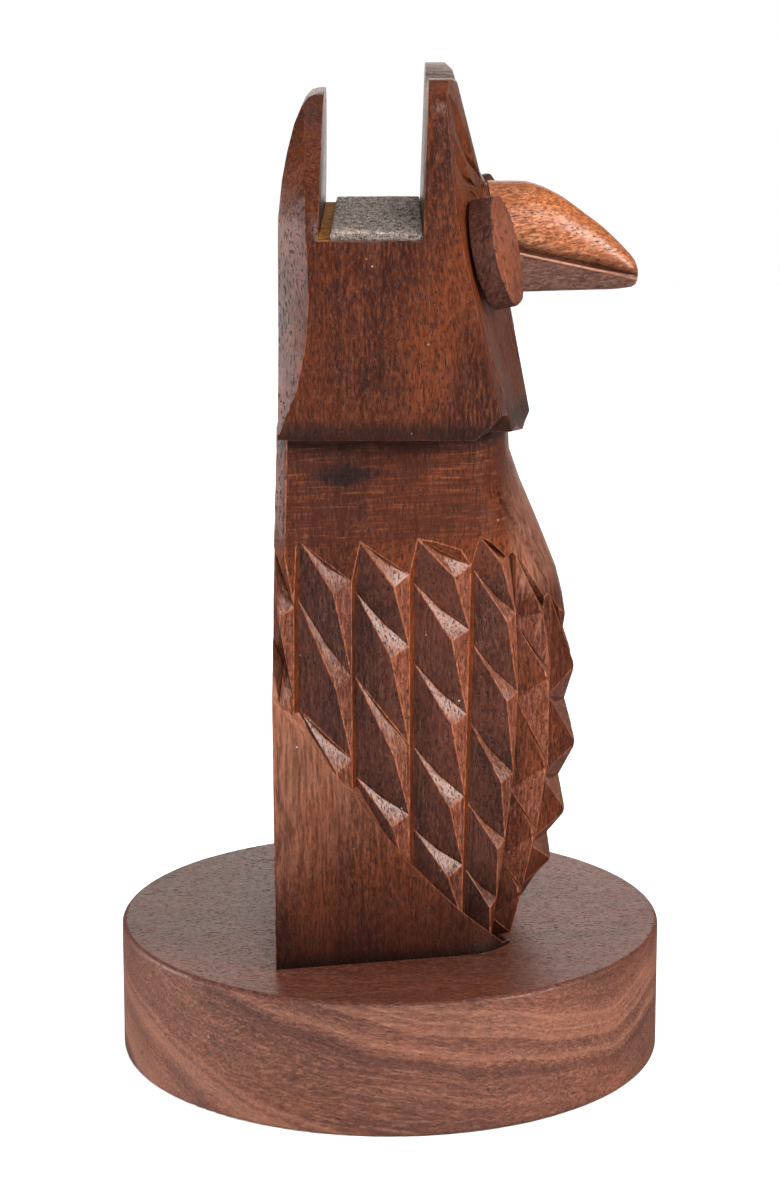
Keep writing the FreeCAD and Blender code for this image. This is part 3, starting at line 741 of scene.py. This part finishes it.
def make_feathered_trunk(materials):
    """The body below the head. One half is made, from the middle of the back round to the breast."""
    bm = bmesh.new()
    rng = random.Random(7)
    blunt_tips = []
    top_edge = []

    def at(step, z, depth=0):
        return bm.verts.new(skin(step, z, depth))

    def facet(material, *corners):
        bm.faces.new(corners).material_index = material

    def scooped(top, peak, side, depth):
        """A point inside a feather's upper facet, sunk below it, so that the facet is hollow."""
        middle = top.co * 0.46 + peak.co * 0.14 + side.co * 0.4
        outward = Vector((1, -max(-middle.y, 0) / BREAST_RADIUS, 0)).normalized()
        return bm.verts.new(middle - outward * depth)

    # The back is plain between the middle and the first column.
    back_lines = []
    for step in (-BACK_HALF, -26, -18, -11, -6.4):
        line = [at(step, read(FEATHER_TOP, step))]
        line += [at(step, z) for z in (90, 78, 66, 54, 42, FOOT)]
        top_edge.append((step, line[0]))
        back_lines.append(line)
    join_lines(bm, back_lines)
    waiting = back_lines[-1]

    for index, (start, tips) in enumerate(COLUMNS):
        breast = start > BREAST_STEP
        last = index == len(COLUMNS) - 1
        end = FRONT_STEP if last else COLUMNS[index + 1][0] - RIDGE_STRIP

        # The groove runs down the column's start, deepest just below each tip.
        top_left, top_right = read(FEATHER_TOP, start), read(FEATHER_TOP, end)
        groove = [at(lean(start, top_left), top_left, 0.15)]
        for tip_z in tips:
            z = tip_z - GROOVE_DROP
            if len(groove) == 1 and not last:
                z = min(tip_z - 1.4, top_left - 3)
            depth = GROOVE_DEPTH + rng.uniform(-0.2, 0.25)
            groove.append(at(lean(start, z), z, depth))

        # The tips stand at the trunk's full size, or a little proud of it on the middle line.
        peaks = []
        for tip_z in tips:
            away = 6.1 if start < 0 else 8 if last else 6 + rng.uniform(-0.5, 0.5)
            proud = 0.5 if last else 0
            peaks.append(at(lean(start + away, tip_z), tip_z, rng.uniform(-0.05, 0.15) - proud))
        if breast:
            blunt_tips += [peak.co.copy() for peak in peaks]

        # The ridge runs down the column's end, with a point a little above or below each tip.
        lift = 1.6 if start < 30 else 1 if start < 40 else -0.2
        ridge = []
        if last:
            ridge = [at(end, z, read(BREAST_LINE, z) - reach) for z, reach in BREAST_NOTCHES]
        else:
            for tip_z in [*tips, tips[-1] - 10]:
                z = max(tip_z + lift, FOOT + 1)
                ridge.append(at(lean(end, z), z, RIDGE_DEPTH + rng.uniform(-0.15, 0.2)))
        corner = at(lean(end, top_right), top_right, 0.3 if last else 0)

        for j, peak in enumerate(peaks):
            scoop = scooped(groove[j], peak, ridge[j], 1 if j == 0 else 0.6)
            # painted light on the upper facets and the ridge facets, painted shade on the flanks
            facet(LIT, groove[j], peak, scoop)
            facet(LIT, peak, ridge[j], scoop)
            facet(CARVED, ridge[j], groove[j], scoop)
            facet(CARVED if breast else FLANK, groove[j], groove[j + 1], peak)
            facet(RIDGE if breast else FLANK, peak, groove[j + 1], ridge[j + 1])
            facet(RIDGE, peak, ridge[j + 1], ridge[j])
        groove_foot = at(start, FOOT, foot_depth(start))
        ridge_foot = at(end, FOOT, foot_depth(end))
        bm.faces.new((groove[-1], groove_foot, ridge_foot, ridge[-1]))

        # Above the first tip, a fan of facets whose edge dips between the groove and the ridge.
        dips = ((0.33, 0), (0.67, 0)) if last else ((0.3, 0.5), (0.78, 2.2))
        between = []
        for part, dip in dips:
            step = start + (end - start) * part
            z = read(FEATHER_TOP, step)
            between.append(at(lean(step, z), z - dip))
        fan = [groove[0], *between, corner]
        for a, b in zip(fan, fan[1:]):
            bm.faces.new((a, ridge[0], b))
        strip(bm, waiting, [*groove, groove_foot])
        waiting = [corner, *ridge, ridge_foot]
        for part, vert in zip((0, dips[0][0], dips[1][0], 1), fan):
            top_edge.append((start + (end - start) * part, vert))

    # The neck above the feathers is smooth but for slight tool marks.
    rows = [[vert for step, vert in top_edge]]
    for part in (0.1, 0.22, 0.36, 0.5, 0.64, 0.78, 0.9, 1):
        row = []
        for step, vert in top_edge:
            low = read(FEATHER_TOP, step)
            z = low + (NECK_TOP - low) * part
            ends = step in (-BACK_HALF, FRONT_STEP) or part == 1
            tool = 0 if ends else rng.uniform(-0.05, 0.1)
            row.append(at(step, z, tool))
        rows.append(row)
    join_lines(bm, rows)
    mirror_and_close(bm)
    blunt(bm, blunt_tips)
    return new_object("owl_body", bm, materials)


def make_skirt(side, materials):
    """The smooth wood left uncarved behind and below the feathers, on one side."""
    bm = bmesh.new()
    rng = random.Random(11)
    steps = [-8.5, -6.4, -4, -0.05, 0.05, 4, 9, 14, 19, 24, 29, 34, 38.5, 42.5, 46.5, 50]
    parts = [0, 0.2, 0.4, 0.6, 0.8, 0.92, 1]

    def wall(depth_of, keep):
        """A line of points at each step, drawn in towards a point behind the disc's centre."""
        lines = []
        for step in steps:
            top = read(SKIRT_TOP, step)
            line = []
            for part in parts:
                z = FOOT + (top - FOOT) * part
                point = skin(step, z, depth_of(step))
                point.x *= side * keep
                point.y = (point.y + 4) * keep - 4
                line.append(bm.verts.new(point))
            lines.append(line)
        return lines

    def outer_depth(step):
        if step < -6.5:
            return 0.5
        return -0.05 if abs(step) < 0.1 or step > 40 else -0.05 + rng.uniform(0, 0.06)

    outer = wall(outer_depth, 1)
    inner = wall(lambda step: 0, 0.72)
    for lines in (outer, inner):
        join_lines(bm, lines)
    for i in range(len(steps) - 1):
        for end in (-1, 0):
            bm.faces.new((outer[i][end], outer[i + 1][end], inner[i + 1][end], inner[i][end]))
    for i in range(len(parts) - 1):
        for end in (0, -1):
            bm.faces.new((outer[end][i], outer[end][i + 1], inner[end][i + 1], inner[end][i]))
    bmesh.ops.remove_doubles(bm, verts=bm.verts, dist=0.002)
    return new_object("skirt", bm, materials)


# ---------------- the head

HEAD_LOW, HEAD_TOP = 120, 180.2
HEAD_BACK = 19.1
# a height, then the reach of the face there, on the middle line and at the head's corners
FACE_LINE = [(110, 27.2, 22), (158, 18.2, 11.2), (184, 15, 8.6)]
EYE_TURN, EYE_TILT = math.radians(13), math.radians(13)


def face_point(x, z):
    """Point on the face's sloping planes, or on the thinner horns above them."""
    ridge, corner = read(FACE_LINE, z), read(FACE_LINE, z, 2)
    reach = ridge + (corner - ridge) * abs(x) / HEAD_HALF
    if z > 161:
        reach = min(reach, 16.2 - (z - 161) * 0.26)
    return Vector((x, -reach, z))


def face_normal(x, z):
    a = face_point(x + 0.3, z) - face_point(x - 0.3, z)
    b = face_point(x, z + 0.3) - face_point(x, z - 0.3)
    normal = a.cross(b)
    return normal if normal.y < 0 else -normal


def face_gouge(side, path, width, depth):
    """A V cutter along a path of (x, z) pairs on the face, given for the owl's left side."""
    path = [(side * x, z) for x, z in path]
    points, normals = [face_point(*p) for p in path], [face_normal(*p) for p in path]
    return gouge(points, normals, width, depth)


def arch_point(part):
    """Half width and height of the rear plate's rounded top, from its side (0) to its crown (1)."""
    turn = math.pi / 2 * part
    return 8 + 27.1 * max(math.cos(turn), 0) ** 1.3, 153 + 23.9 * math.sin(turn) ** 1.3


def eye_axis(side):
    """The way an eye faces: outwards and up. Side is 1 for the owl's left and -1 for its right."""
    level = math.cos(EYE_TILT)
    return Vector((side * math.sin(EYE_TURN) * level, -math.cos(EYE_TURN) * level, math.sin(EYE_TILT)))


def eye_middle(side):
    low, high = box_mm("left_eye_disc" if side > 0 else "right_eye_disc")
    return (low + high) / 2


def head_block(materials):
    """The head's side outline, cut to its front outline: a level bottom and two horns with a dip between."""
    profile = [
        (-HEAD_BACK, HEAD_LOW), (13, HEAD_LOW), (20.9, 115.9), (25.2, 119.6), (17.6, 159),
        (17, 160.6), (16, 162), (11.4, 179.3), (10.2, HEAD_TOP), (0, HEAD_TOP),
        (0, 176.8), (-12.6, 176.8), (-14.1, 176.2), (-15.3, 174.7), (-16.4, 172.1),
        (-17.5, 167.7), (-18.3, 163.2), (-18.9, 157),
    ]
    head = prism(profile, -HEAD_HALF, HEAD_HALF, across, materials)
    half_outline = [(3, 115.9), (20, HEAD_LOW), (40, HEAD_LOW), (40, 174.2)]
    for turn in map(math.radians, range(0, 91, 9)):
        half_outline.append((29 + 6 * math.cos(turn), 174.2 + 6 * math.sin(turn)))
    half_outline += [(23, 180), (17, 179.3), (12, 178.5), (6, 177.6)]
    outline = half_outline + [(0, 177)] + [(-x, z) for x, z in reversed(half_outline)]
    carve(head, prism(outline, -30, 40, along), "INTERSECT")
    return head


def cut_face(head, side):
    """Slopes the face back from its middle line to one corner."""
    past = HEAD_HALF + 4
    for levels in zip(FACE_LINE, FACE_LINE[1:]):
        points = []
        for z, ridge, corner in levels:
            edge = ridge + (corner - ridge) * (past / HEAD_HALF)
            for x, reach in ((0, ridge), (past, edge)):
                points += [(side * x, -reach, z), (side * x, -50, z)]
        carve(head, hull(points))


def cut_rear_plate(head, side):
    """Rounds the rear plate's top and planes its back corner, which fades out at the neck."""
    arch = [arch_point(i / 9) for i in range(10)] + [(8, 190), (45, 190), (45, 153)]
    carve(head, prism([(side * x, z) for x, z in arch], -26, -1, along))
    cuts = ((121, 0.3), (128.4, 3.3), (136, 4.9), (144, 5.4), (153, 5.1))
    levels = [(z, HEAD_HALF, cut) for z, cut in cuts]
    for part in (0.15, 0.3, 0.45, 0.6, 0.75):
        half, z = arch_point(part)
        levels.append((z, half, 5.1 - 0.9 * part))
    for pair in zip(levels, levels[1:]):
        points = []
        for z, half, cut in pair:
            for x, y in ((half - cut * 0.9, HEAD_BACK), (half, HEAD_BACK - cut), (half + 9, 27 - cut)):
                points.append((side * x, y, z))
        carve(head, hull(points))


def cut_jaw(head, side):
    """Cuts the face's bottom corner off at a slant."""
    points = []
    for x, drop in ((HEAD_HALF - 9, 3.5), (HEAD_HALF + 3, 0)):
        slant = [(14, 120.4 - drop), (19.4, 125.6 - drop), (30, 134 - drop)]
        for reach, z in slant + [(30, 112), (14, 112)]:
            points.append((side * x, -reach, z))
    carve(head, hull(points))


def cut_beak_seat(head):
    """A flat, leaning seat with a little room round the beak's back end."""
    seat = []
    for z, reach in ((beak_high.z + 0.1, BEAK_ROOT_TOP), (beak_low.z - 0.1, BEAK_ROOT_LOW)):
        for x in (-9.6, 9.6):
            seat += [(x, -reach, z), (x, -45, z)]
    carve(head, hull(seat))


# Gouge lines on the owl's left half of the face: a path of (x, z) pairs, then a width and a depth.
FACE_CUTS = [
    ([(33, 178), (27, 173.8), (18, 167.6), (9, 162)], 5.6, 1.5),
    ([(34.3, 171.6), (29.5, 168), (22.5, 164), (15, 161)], 4.6, 1.3),
    ([(10.6, 139.5), (9.4, 136), (6.8, 131.5), (3.6, 127)], 1.6, 0.6),
    ([(5.2, 140.5), (4.6, 136), (3.2, 131), (1.6, 126.5)], 1.2, 0.5),
    ([(30.6, 138.5), (30, 133), (28.2, 126.5), (26.8, 122.5)], 2.6, 0.7),
    ([(18.6, 138.5), (17.6, 134), (15.4, 129), (13, 124.5)], 2.4, 0.6),
]
# Lines on the owl's left half of the breast: a path of (step, height) pairs, then a width and a depth.
BREAST_CUTS = [
    ([(45, 110.5), (47.5, 107), (50, 104), (53.5, 99.8), (57, 94), (59.2, 88.5)], 1.6, 0.65),
    ([(55.2, 113), (53.8, 107.5), (55.8, 103), (59, 98.5), (62.5, 91.5)], 1.2, 0.45),
    ([(51.6, 100.8), (53.6, 98), (55.4, 95)], 1, 0.35),
    ([(42.2, 113.5), (42.6, 109.5), (43.6, 105)], 1, 0.35),
]


def make_head(materials):
    head = head_block(materials)
    for side in (1, -1):
        cut_face(head, side)
        cut_rear_plate(head, side)
        cut_jaw(head, side)
    slot = [(SLOT_FRONT, felt_low.z), (7, 195), (-11, 195), (SLOT_BACK, felt_low.z)]
    carve(head, prism(slot, -60, 60, across))
    flatten(head)
    soften(head, 0.45, 16)
    cut_beak_seat(head)
    for side in (1, -1):
        # a shallow round seat with room round the disc, and a hole for its dowel
        axis = eye_axis(side)
        start = eye_middle(side) - axis * 1.9
        carve(head, rod(10.9, start, axis, 30, 22))
        carve(head, rod(2.03, start - axis * 7, axis, 14))
        for path, width, depth in FACE_CUTS:
            carve(head, face_gouge(side, path, width, depth))
    carve(head, rod(3.03, (0, -9, 150), (0, -1, 0), 20))
    return head


def breast_gouge(side, path, width, depth):
    points, normals = [], []
    for step, z in path:
        point = skin(step, z)
        normal = point - skin(step, z, 1)
        point.x *= side
        normal.x *= side
        points.append(point)
        normals.append(normal)
    return gouge(points, normals, width, depth)


def make_owl_body(materials):
    """Trunk, smooth wood below the feathers and head, joined into the one carved block."""
    trunk = make_feathered_trunk(materials)
    soften(trunk, 0.21, 26)
    for side in (1, -1):
        skirt = make_skirt(side, materials)
        for face in skirt.data.polygons:
            face.material_index = SKIRT
        soften(skirt, 0.3, 25)
        carve(trunk, skirt, "UNION")
    for side in (1, -1):
        for path, width, depth in BREAST_CUTS:
            carve(trunk, breast_gouge(side, path, width, depth))
    carve(trunk, make_head(materials), "UNION")
    join_close(trunk)
    finish_piece(trunk, ["figure_body"])


# ---------------- beak, eyes, felt

# The beak's top: a reach, then the height there.
BEAK_CREST = [
    (15, 160.8), (24, 160.8), (26.3, 160.2), (28.6, 159.2), (30.9, 157.9), (33.1, 156.3),
    (35.4, 154.6), (37.7, 152.9), (39.9, 150.9), (41.7, 149.1), (43.3, 147.4), (44.3, 146.4),
]


def make_beak(materials):
    """Sections along the beak, each a rounded upper jaw over a lip and a flatter lower jaw."""
    bm = bmesh.new()
    tip = -beak_low.y
    low = beak_low.z
    stations = [BEAK_ROOT_TOP, BEAK_SEAM - 0.35, BEAK_SEAM - 0.1, BEAK_SEAM + 0.1, BEAK_SEAM + 0.35]
    stations += [18.3 + (tip - 18.3) * i / 21 for i in range(21)] + [tip - 0.55, tip - 0.2, tip]
    rings = []
    for k, reach in enumerate(stations):
        crest = read(BEAK_CREST, reach)
        half = 9.45 if reach < 19 else 9.45 - 6.2 * (reach - 19) / (tip - 19)
        mouth = MOUTH_ROOT - MOUTH_SLOPE * (reach - MOUTH_REACH)
        bottom = low + 0.6 + 0.7 * max((reach - 38) / (tip - 38), 0) ** 2
        size = min(1, (crest - bottom) / 12)
        if abs(reach - BEAK_SEAM) < 0.2:
            half -= 0.45
            crest -= 0.45
        blunt = math.sqrt(max(1 - (max(reach - tip + 1.1, 0) / 1.16) ** 2, 0.1))
        side_z = mouth + 0.26 * (crest - mouth)
        section = []
        for i in range(11):
            a = math.pi / 2 * i / 10
            section.append((half * math.sin(a) ** 0.9, side_z + (crest - side_z) * math.cos(a) ** 0.92))
        below = min(side_z - mouth, 2.6)
        for inset, rise in ((0.12, 0.75), (0.42, 0.48), (0.9, 0.24)):
            section.append((half - inset * size, mouth + rise * below))
        section.append((half - 1.55 * size, mouth + 0.1))
        for inset, drop in ((1.6, 0.18), (0.62, 0.42), (0.52, 0.75), (0.85, 1.1)):
            section.append((half - inset * size, mouth - drop * size))
        section += [
            (half - 0.95 * size, (mouth + bottom) / 2 - 0.5 * size),
            (half - 1 * size, bottom + 0.7 * size),
            (half - 1.25 * size, bottom + 0.2 * size),
            (half - 1.85 * size, bottom),
            (half * 0.4, bottom - 0.05),
        ]
        centre_z = (crest + bottom) / 2
        ring = []
        outline = section + [(-x, z) for x, z in reversed(section[1:])]
        slant = max(1 - (reach - BEAK_ROOT_TOP) / 6, 0) * (BEAK_ROOT_LOW - BEAK_ROOT_TOP)
        for x, z in outline:
            wobble = 0.08 * noise.noise(Vector((x * 0.35, reach * 0.22, z * 0.35)))
            y = reach + slant * (beak_high.z - z) / (beak_high.z - low)
            spread = 1 if k == 0 else 1 + wobble / max(half, 3)
            ring.append(bm.verts.new((x * blunt * spread, -y, centre_z + (z - centre_z) * blunt)))
        rings.append(ring)
    for a, b in zip(rings, rings[1:]):
        join_rings(bm, a, b)
    bm.faces.new(rings[0])
    bm.faces.new(rings[-1])
    beak = new_object("beak_carved", bm, materials)
    finish_piece(beak, ["beak"], 40)


def make_eye(side, materials):
    """A hand-cut disc: eleven flats round the rim, a rounded front edge and a slightly uneven face."""
    name = "left_eye" if side > 0 else "right_eye"
    rng = random.Random(21 if side > 0 else 34)
    axis = eye_axis(side)
    level = Vector((0, 0, 1)).cross(axis).normalized()
    upward = axis.cross(level)
    middle = eye_middle(side) + axis * 0.8 - Vector((0, 0, 0.3))
    half, radius, flats = 4.3 / 2, 9.9, 11
    corners = []
    for i in range(flats):
        a = 2 * math.pi * (i + rng.uniform(-0.1, 0.1)) / flats
        r = radius * rng.uniform(0.985, 1)
        corners.append((r * math.cos(a), r * math.sin(a)))
    outline = []
    for i, (ax, ay) in enumerate(corners):
        bx, by = corners[(i + 1) % flats]
        for part in (0.06, 0.3, 0.5, 0.7, 0.94):
            x, y = ax + (bx - ax) * part, ay + (by - ay) * part
            bulge = 1 + 0.018 * math.sin(math.pi * part)
            outline.append((x * bulge, y * bulge))
    bm = bmesh.new()

    def point(x, y, out):
        return bm.verts.new(middle + level * x + upward * y + axis * out)

    rings = []
    # rings of points: a size as a share of the radius, then how far out along the axis
    back_and_rim = [
        (0, -half), (0.5, -half), (0.97, -half), (1, 0.25 - half), (1, -0.4), (1, half - 0.55),
    ]
    front = [
        (0.996, half - 0.26), (0.984, half - 0.07), (0.965, half), (0.8, half + 0.02),
        (0.62, half + 0.06), (0.42, half + 0.1), (0.2, half + 0.12), (0, half + 0.13),
    ]
    for size, out in back_and_rim + front:
        if size == 0:
            rings.append([point(0, 0, out)])
            continue
        ring = []
        for x, y in outline:
            rough = 0
            if out > half - 0.3:
                rough = 0.12 * noise.noise(Vector((x * 0.3 + side * 9, y * 0.22, 3)))
            ring.append(point(x * size, y * size, out + rough))
        rings.append(ring)
    for k, (a, b) in enumerate(zip(rings, rings[1:])):
        count = max(len(a), len(b))
        for i in range(count):
            j = (i + 1) % count
            corners_of = [a[i % len(a)], a[j % len(a)], b[j % len(b)], b[i % len(b)]]
            unique = list(dict.fromkeys(corners_of))
            # the back and the rim take the darker wood, painted shade
            bm.faces.new(unique).material_index = 1 if k < len(back_and_rim) else 0
    eye = new_object(name + "_carved", bm, materials)
    finish_piece(eye, [name + "_disc"], 30)


def make_felt(material):
    """The strip of felt on the slot's floor, with slightly uneven cut edges and a soft top."""
    bm = bmesh.new()
    across_count, along_count = 14, 60
    width, length = felt_high.y - felt_low.y, felt_high.x - felt_low.x
    thick = felt_high.z - felt_low.z
    layers = []
    for out, inset in ((0, 0.1), (0.35, 0), (0.8, 0.03), (1, 0.28)):
        layer = []
        for i in range(along_count + 1):
            row = []
            for j in range(across_count + 1):
                a, b = i / along_count, j / across_count
                x = felt_low.x + inset + (length - 2 * inset) * a
                y = felt_low.y + inset + (width - 2 * inset) * b
                edge = 0.16 * noise.noise(Vector((x * 0.4, y * 0.4, 1)))
                if i in (0, along_count):
                    x += edge - math.copysign(0.12, a - 0.5)
                if j in (0, across_count):
                    y += edge * 0.5 - math.copysign(0.06, b - 0.5)
                z = felt_low.z + thick * out
                if out == 1:
                    z += 0.1 * noise.noise(Vector((x * 0.6, y * 0.6, 5))) - 0.05
                row.append(bm.verts.new((x, y, z)))
            layer.append(row)
        layers.append(layer)
    for layer in (layers[0], layers[-1]):
        join_lines(bm, layer)

    def rim(layer):
        """The layer's outer vertices, in order round it."""
        line = [row[0] for row in layer]
        line += layer[-1][1:]
        line += [row[-1] for row in reversed(layer)][1:]
        line += list(reversed(layer[0]))[1:-1]
        return line

    for low, high in zip(layers, layers[1:]):
        join_rings(bm, rim(low), rim(high))
    drop_loose(bm)
    felt = new_object("felt_pad", bm, [material])
    finish_piece(felt, ["slot_lining"], 50)


# ---------------- putting it together

def dress(node, material):
    """Gives a CAD node that stays its material."""
    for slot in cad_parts[node].material_slots:
        slot.material = material


make_camera()
make_lights(make_floor())

# Each wood's dark, main, warm and pale tones, as display values.
carved_tones = ((28, 10, 5), (68, 26, 11), (102, 44, 11), (108, 58, 31))
# The edge wood's lighter tones are worn wood and painted highlight along the rounded edges.
worn_edge_highlight_tones = ((68, 32, 20), (120, 62, 38), (140, 74, 42), (162, 104, 74))
# Painted shade and painted light: darker tones for the feathers' flanks, redder for their ridge facets,
# lighter for their upper facets.
shaded_tones = ((26, 11, 8), (62, 27, 18), (90, 40, 20), (98, 56, 40))
ridge_painted_light_tones = ((40, 18, 11), (88, 41, 26), (114, 57, 33), (136, 86, 64))
lit_tones = ((44, 21, 14), (92, 50, 35), (112, 63, 42), (152, 104, 82))
make_owl_body([  # in the order of CARVED, EDGE, SKIRT, FLANK, RIDGE and LIT
    owl_wood("carved_wood", carved_tones),
    wood("carved_wood_edge_wear_highlight", worn_edge_highlight_tones, rough=0.33, pores=0.5, dust=0.3),
    owl_wood("carved_wood_plain", carved_tones, plain=True, streaks=0.7),
    owl_wood("carved_wood_shaded", shaded_tones, shine=0.4, streaks=0.6, specks=0.6),
    owl_wood("carved_wood_ridge_painted_light", ridge_painted_light_tones, streaks=0.7, specks=0.6),
    owl_wood("carved_wood_lit", lit_tones, shine=0.35, pores=0.5, streaks=0.7, specks=0.5),
])
upper_tones = ((84, 38, 18), (148, 80, 40), (182, 100, 44), (198, 134, 92))
# The lower jaw's darker tones are painted shade.
lower_jaw_shade_tones = ((50, 28, 22), (88, 54, 44), (98, 58, 44), (124, 88, 74))
make_beak([beak_material(upper_tones, lower_jaw_shade_tones)])
eye_wood = eye_material("eye_wood", ((58, 26, 18), (100, 50, 32), (126, 64, 34), (140, 86, 60)))
# The rim's darker tones are painted shade on the disc's edge.
shaded_eye_rim = eye_material("eye_wood_rim_painted_shade", ((34, 18, 14), (66, 34, 26), (80, 40, 28), (96, 60, 48)))
make_eye(1, [eye_wood, shaded_eye_rim])
make_eye(-1, [eye_wood, shaded_eye_rim])
make_felt(felt_material())
side_tones = ((60, 31, 24), (102, 59, 45), (120, 68, 46), (154, 104, 80))
top_tones = ((54, 24, 17), (92, 47, 33), (106, 52, 32), (120, 73, 54))
dress("base_disc", base_wood_material(side_tones, top_tones))
dowel_tones = ((150, 112, 74), (196, 158, 112), (206, 168, 120), (226, 196, 150))
dowel_wood = wood("dowel_wood", dowel_tones, pores=0.3, dust=0)
for dowel in ("beak_dowel", "left_eye_dowel", "right_eye_dowel"):
    dress(dowel, dowel_wood)
dress("base_screws", steel_material())
